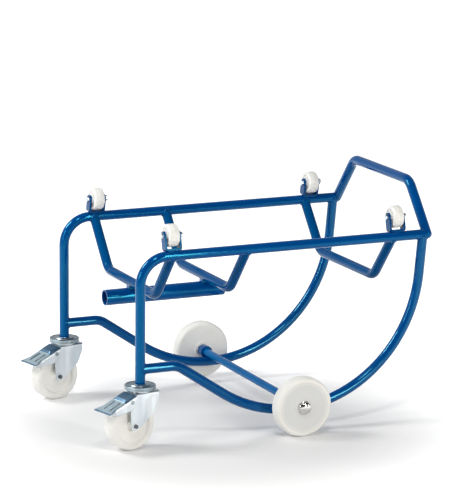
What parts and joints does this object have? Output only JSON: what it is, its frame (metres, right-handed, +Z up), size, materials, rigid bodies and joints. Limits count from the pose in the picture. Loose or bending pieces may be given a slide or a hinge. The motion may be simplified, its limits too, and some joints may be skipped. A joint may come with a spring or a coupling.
{
  "type": "rolling drum cradle",
  "caption": "Tube-frame cradle on fixed wheels and braked swivel casters, with rollers that carry a lying drum, rocker runners for tipping and a socket for a lever.",
  "frame": {"origin": "centre of the bounding box at floor level", "axes": "+X along the rails to the end hoop, +Y across to the far side, +Z up"},
  "size_m": [0.91, 0.684, 0.6035],
  "materials": {
    "blue_paint": "gloss powder coat",
    "nylon": "semi-gloss",
    "zinc": "bright zinc plate",
    "pedal_zinc": "blue zinc plate",
    "chrome": "polished",
    "bare_steel": "plain"
  },
  "bodies": {
    "frame": {"near_side_tube": "blue_paint", "near_runner": "blue_paint", "near_hoop_cap": "blue_paint", "near_axle_collar": "blue_paint", "near_hub_cap": "chrome", "near_leg_plug": "bare_steel", "near_caster_head": "zinc", "near_king_bolt": "zinc", "near_front_bracket": "blue_paint", "near_front_roller_bolt": "zinc", "near_front_roller_nut": "zinc", "near_rear_bracket": "blue_paint", "near_rear_roller_bolt": "zinc", "near_rear_roller_nut": "zinc", "far_side_tube": "blue_paint", "far_runner": "blue_paint", "far_hoop_cap": "blue_paint", "far_axle_collar": "blue_paint", "far_hub_cap": "chrome", "far_leg_plug": "bare_steel", "far_caster_head": "zinc", "far_king_bolt": "zinc", "far_front_bracket": "blue_paint", "far_front_roller_bolt": "zinc", "far_front_roller_nut": "zinc", "far_rear_bracket": "blue_paint", "far_rear_roller_bolt": "zinc", "far_rear_roller_nut": "zinc", "front_saddle": "blue_paint", "middle_saddle": "blue_paint", "rear_saddle": "blue_paint", "end_hoop": "blue_paint", "lever_socket": "blue_paint", "front_socket_pad": "blue_paint", "middle_socket_pad": "blue_paint", "axle_rod": "blue_paint"},
    "near_swivel": {"near_fork": "zinc", "near_ball_ring": "zinc", "near_axle_sleeve": "zinc", "near_axle_bolt": "zinc", "near_axle_nut": "zinc", "near_pedal_rivets": "zinc"},
    "near_caster_roll": {"near_caster_wheel": "nylon"},
    "near_brake": {"near_pedal": "pedal_zinc", "near_brake_shoe": "pedal_zinc"},
    "far_swivel": {"far_fork": "zinc", "far_ball_ring": "zinc", "far_axle_sleeve": "zinc", "far_axle_bolt": "zinc", "far_axle_nut": "zinc", "far_pedal_rivets": "zinc"},
    "far_caster_roll": {"far_caster_wheel": "nylon"},
    "far_brake": {"far_pedal": "pedal_zinc", "far_brake_shoe": "pedal_zinc"},
    "near_wheel_roll": {"near_wheel": "nylon"},
    "far_wheel_roll": {"far_wheel": "nylon"},
    "near_front_roll": {"near_front_roller": "nylon"},
    "near_rear_roll": {"near_rear_roller": "nylon"},
    "far_front_roll": {"far_front_roller": "nylon"},
    "far_rear_roll": {"far_rear_roller": "nylon"}
  },
  "joints": [
    {"name": "near_swivel_turn", "type": "hinge", "parent": "frame", "child": "near_swivel", "pos_m": [-0.338, -0.256, 0.1425], "axis": [0, 0, 1], "continuous": true},
    {"name": "near_caster_spin", "type": "hinge", "parent": "near_swivel", "child": "near_caster_roll", "pos_m": [-0.36918, -0.2632, 0.0625], "axis": [0.225, -0.9744, 0], "continuous": true},
    {"name": "near_brake_press", "type": "hinge", "parent": "near_swivel", "child": "near_brake", "pos_m": [-0.3799, -0.26567, 0.1245], "axis": [0.225, -0.9744, 0], "range_deg": [0, 12]},
    {"name": "far_swivel_turn", "type": "hinge", "parent": "frame", "child": "far_swivel", "pos_m": [-0.338, 0.256, 0.1425], "axis": [0, 0, 1], "continuous": true},
    {"name": "far_caster_spin", "type": "hinge", "parent": "far_swivel", "child": "far_caster_roll", "pos_m": [-0.36918, 0.2488, 0.0625], "axis": [0.225, -0.9744, 0], "continuous": true},
    {"name": "far_brake_press", "type": "hinge", "parent": "far_swivel", "child": "far_brake", "pos_m": [-0.3799, 0.24633, 0.1245], "axis": [0.225, -0.9744, 0], "range_deg": [0, 12]},
    {"name": "near_wheel_spin", "type": "hinge", "parent": "frame", "child": "near_wheel_roll", "pos_m": [0.07173, -0.313, 0.075], "axis": [0, 1, 0], "continuous": true},
    {"name": "far_wheel_spin", "type": "hinge", "parent": "frame", "child": "far_wheel_roll", "pos_m": [0.07173, 0.313, 0.075], "axis": [0, 1, 0], "continuous": true},
    {"name": "near_front_roller_spin", "type": "hinge", "parent": "frame", "child": "near_front_roll", "pos_m": [-0.253, -0.2439, 0.51951], "axis": [1, 0, 0], "continuous": true},
    {"name": "near_rear_roller_spin", "type": "hinge", "parent": "frame", "child": "near_rear_roll", "pos_m": [0.357, -0.2439, 0.51951], "axis": [1, 0, 0], "continuous": true},
    {"name": "far_front_roller_spin", "type": "hinge", "parent": "frame", "child": "far_front_roll", "pos_m": [-0.253, 0.2439, 0.51951], "axis": [1, 0, 0], "continuous": true},
    {"name": "far_rear_roller_spin", "type": "hinge", "parent": "frame", "child": "far_rear_roll", "pos_m": [0.357, 0.2439, 0.51951], "axis": [1, 0, 0], "continuous": true}
  ]
}
